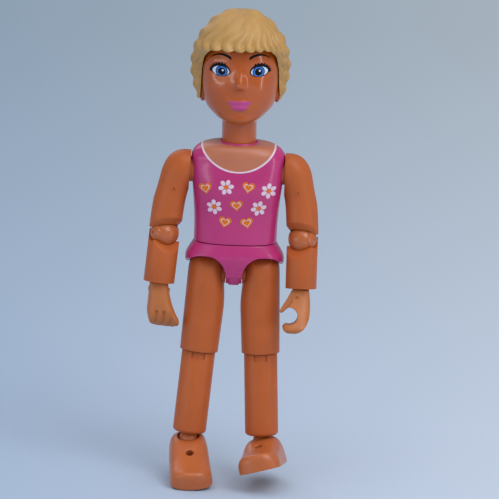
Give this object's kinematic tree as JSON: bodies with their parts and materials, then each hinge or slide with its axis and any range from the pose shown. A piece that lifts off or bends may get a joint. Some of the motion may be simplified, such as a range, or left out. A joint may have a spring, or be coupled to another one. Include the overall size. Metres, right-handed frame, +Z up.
{
  "type": "articulated toy doll",
  "caption": "Small jointed plastic doll in a moulded swimsuit with moulded wavy hair, gripping hands and feet that stand on studs.",
  "frame": {"origin": "middle of the lowest level of the bounding box in the stored pose", "axes": "+Z up along the body, -Y to the front, +X to the doll's own left"},
  "size_m": [0.033, 0.0248, 0.0915],
  "materials": {
    "skin": "satin gloss",
    "joint": "satin gloss",
    "hair": "satin",
    "suit": "gloss, printed",
    "pin": "plain"
  },
  "bodies": {
    "hips": {"pelvis": "suit", "hip_axle": "pin"},
    "chest": {"torso_front": "suit", "torso_back": "suit"},
    "head": {"head": "skin", "hair": "hair"},
    "right_upper_arm": {"right_upper_arm": "skin"},
    "right_elbow": {"right_elbow_ball": "joint"},
    "right_forearm": {"right_forearm": "skin"},
    "right_hand": {"right_hand": "skin"},
    "right_thigh": {"right_thigh": "skin", "right_knee_pin": "pin"},
    "right_calf": {"right_calf": "skin"},
    "right_ankle": {"right_ankle_ball": "joint"},
    "right_foot": {"right_foot": "skin"},
    "left_upper_arm": {"left_upper_arm": "skin"},
    "left_elbow": {"left_elbow_ball": "joint"},
    "left_forearm": {"left_forearm": "skin"},
    "left_hand": {"left_hand": "skin"},
    "left_thigh": {"left_thigh": "skin", "left_knee_pin": "pin"},
    "left_calf": {"left_calf": "skin"},
    "left_ankle": {"left_ankle_ball": "joint"},
    "left_foot": {"left_foot": "skin"}
  },
  "joints": [
    {"name": "waist_turn", "type": "hinge", "parent": "hips", "child": "chest", "pos_m": [0.00065, 0.00283, 0.04661], "axis": [0, 0, 1], "range_deg": [-25, 25]},
    {"name": "head_turn", "type": "hinge", "parent": "chest", "child": "head", "pos_m": [0.00065, 0.00283, 0.06561], "axis": [-0.0209, 0, 0.9998], "range_deg": [-80, 80]},
    {"name": "right_shoulder_swing", "type": "hinge", "parent": "chest", "child": "right_upper_arm", "pos_m": [-0.0088, 0.00283, 0.06001], "axis": [-0.9995, 0, 0.0332], "continuous": true},
    {"name": "right_elbow_swivel", "type": "hinge", "parent": "right_upper_arm", "child": "right_elbow", "pos_m": [-0.01282, 0.00152, 0.0476], "axis": [-0.1459, -0.1039, -0.9838], "range_deg": [-120, 20]},
    {"name": "right_elbow_bend", "type": "hinge", "parent": "right_elbow", "child": "right_forearm", "pos_m": [-0.01282, 0.00152, 0.0476], "axis": [-0.8786, -0.4627, 0.1181], "range_deg": [0, 80]},
    {"name": "right_wrist_turn", "type": "hinge", "parent": "right_forearm", "child": "right_hand", "pos_m": [-0.01355, 0.00053, 0.03828], "axis": [0.0783, 0.1044, 0.9914], "continuous": true},
    {"name": "right_hip_swing", "type": "hinge", "parent": "hips", "child": "right_thigh", "pos_m": [-0.00425, 0.00283, 0.04001], "axis": [-1, 0, 0], "range_deg": [-24, 84]},
    {"name": "right_knee_bend", "type": "hinge", "parent": "right_thigh", "child": "right_calf", "pos_m": [-0.00544, 0.00178, 0.02499], "axis": [0.9969, -0.0055, -0.0783], "range_deg": [0, 85]},
    {"name": "right_ankle_turn", "type": "hinge", "parent": "right_calf", "child": "right_ankle", "pos_m": [-0.0068, 0.00058, 0.00774], "axis": [0.0785, 0.0695, 0.9945], "range_deg": [-40, 18]},
    {"name": "right_foot_tilt", "type": "hinge", "parent": "right_ankle", "child": "right_foot", "pos_m": [-0.0068, 0.00058, 0.00774], "axis": [0.9958, 0.0626, 0.0675], "range_deg": [-24, 4]},
    {"name": "left_shoulder_swing", "type": "hinge", "parent": "chest", "child": "left_upper_arm", "pos_m": [0.0098, 0.00283, 0.06001], "axis": [-1, 0, -0.0035], "continuous": true},
    {"name": "left_elbow_swivel", "type": "hinge", "parent": "left_upper_arm", "child": "left_elbow", "pos_m": [0.01344, 0.00086, 0.04758], "axis": [-0.1166, 0.1554, 0.9809], "range_deg": [-120, 20]},
    {"name": "left_elbow_bend", "type": "hinge", "parent": "left_elbow", "child": "left_forearm", "pos_m": [0.01344, 0.00086, 0.04758], "axis": [-0.8827, 0.463, -0.0811], "range_deg": [0, 80]},
    {"name": "left_wrist_turn", "type": "hinge", "parent": "left_forearm", "child": "left_hand", "pos_m": [0.01352, -0.00061, 0.03829], "axis": [-0.0087, 0.1564, 0.9877], "continuous": true},
    {"name": "left_hip_swing", "type": "hinge", "parent": "hips", "child": "left_thigh", "pos_m": [0.00555, 0.00283, 0.04001], "axis": [-1, 0, 0], "range_deg": [-24, 84]},
    {"name": "left_knee_bend", "type": "hinge", "parent": "left_thigh", "child": "left_calf", "pos_m": [0.00634, 0.00178, 0.02497], "axis": [0.9986, 0.0037, 0.0522], "range_deg": [0, 85]},
    {"name": "left_ankle_turn", "type": "hinge", "parent": "left_calf", "child": "left_ankle", "pos_m": [0.00724, 0.00057, 0.00768], "axis": [-0.0523, 0.0697, 0.9962], "range_deg": [-18, 40]},
    {"name": "left_foot_tilt", "type": "hinge", "parent": "left_ankle", "child": "left_foot", "pos_m": [0.00724, 0.00057, 0.00768], "axis": [0.9546, -0.0968, 0.2819], "range_deg": [-8, 20]}
  ]
}
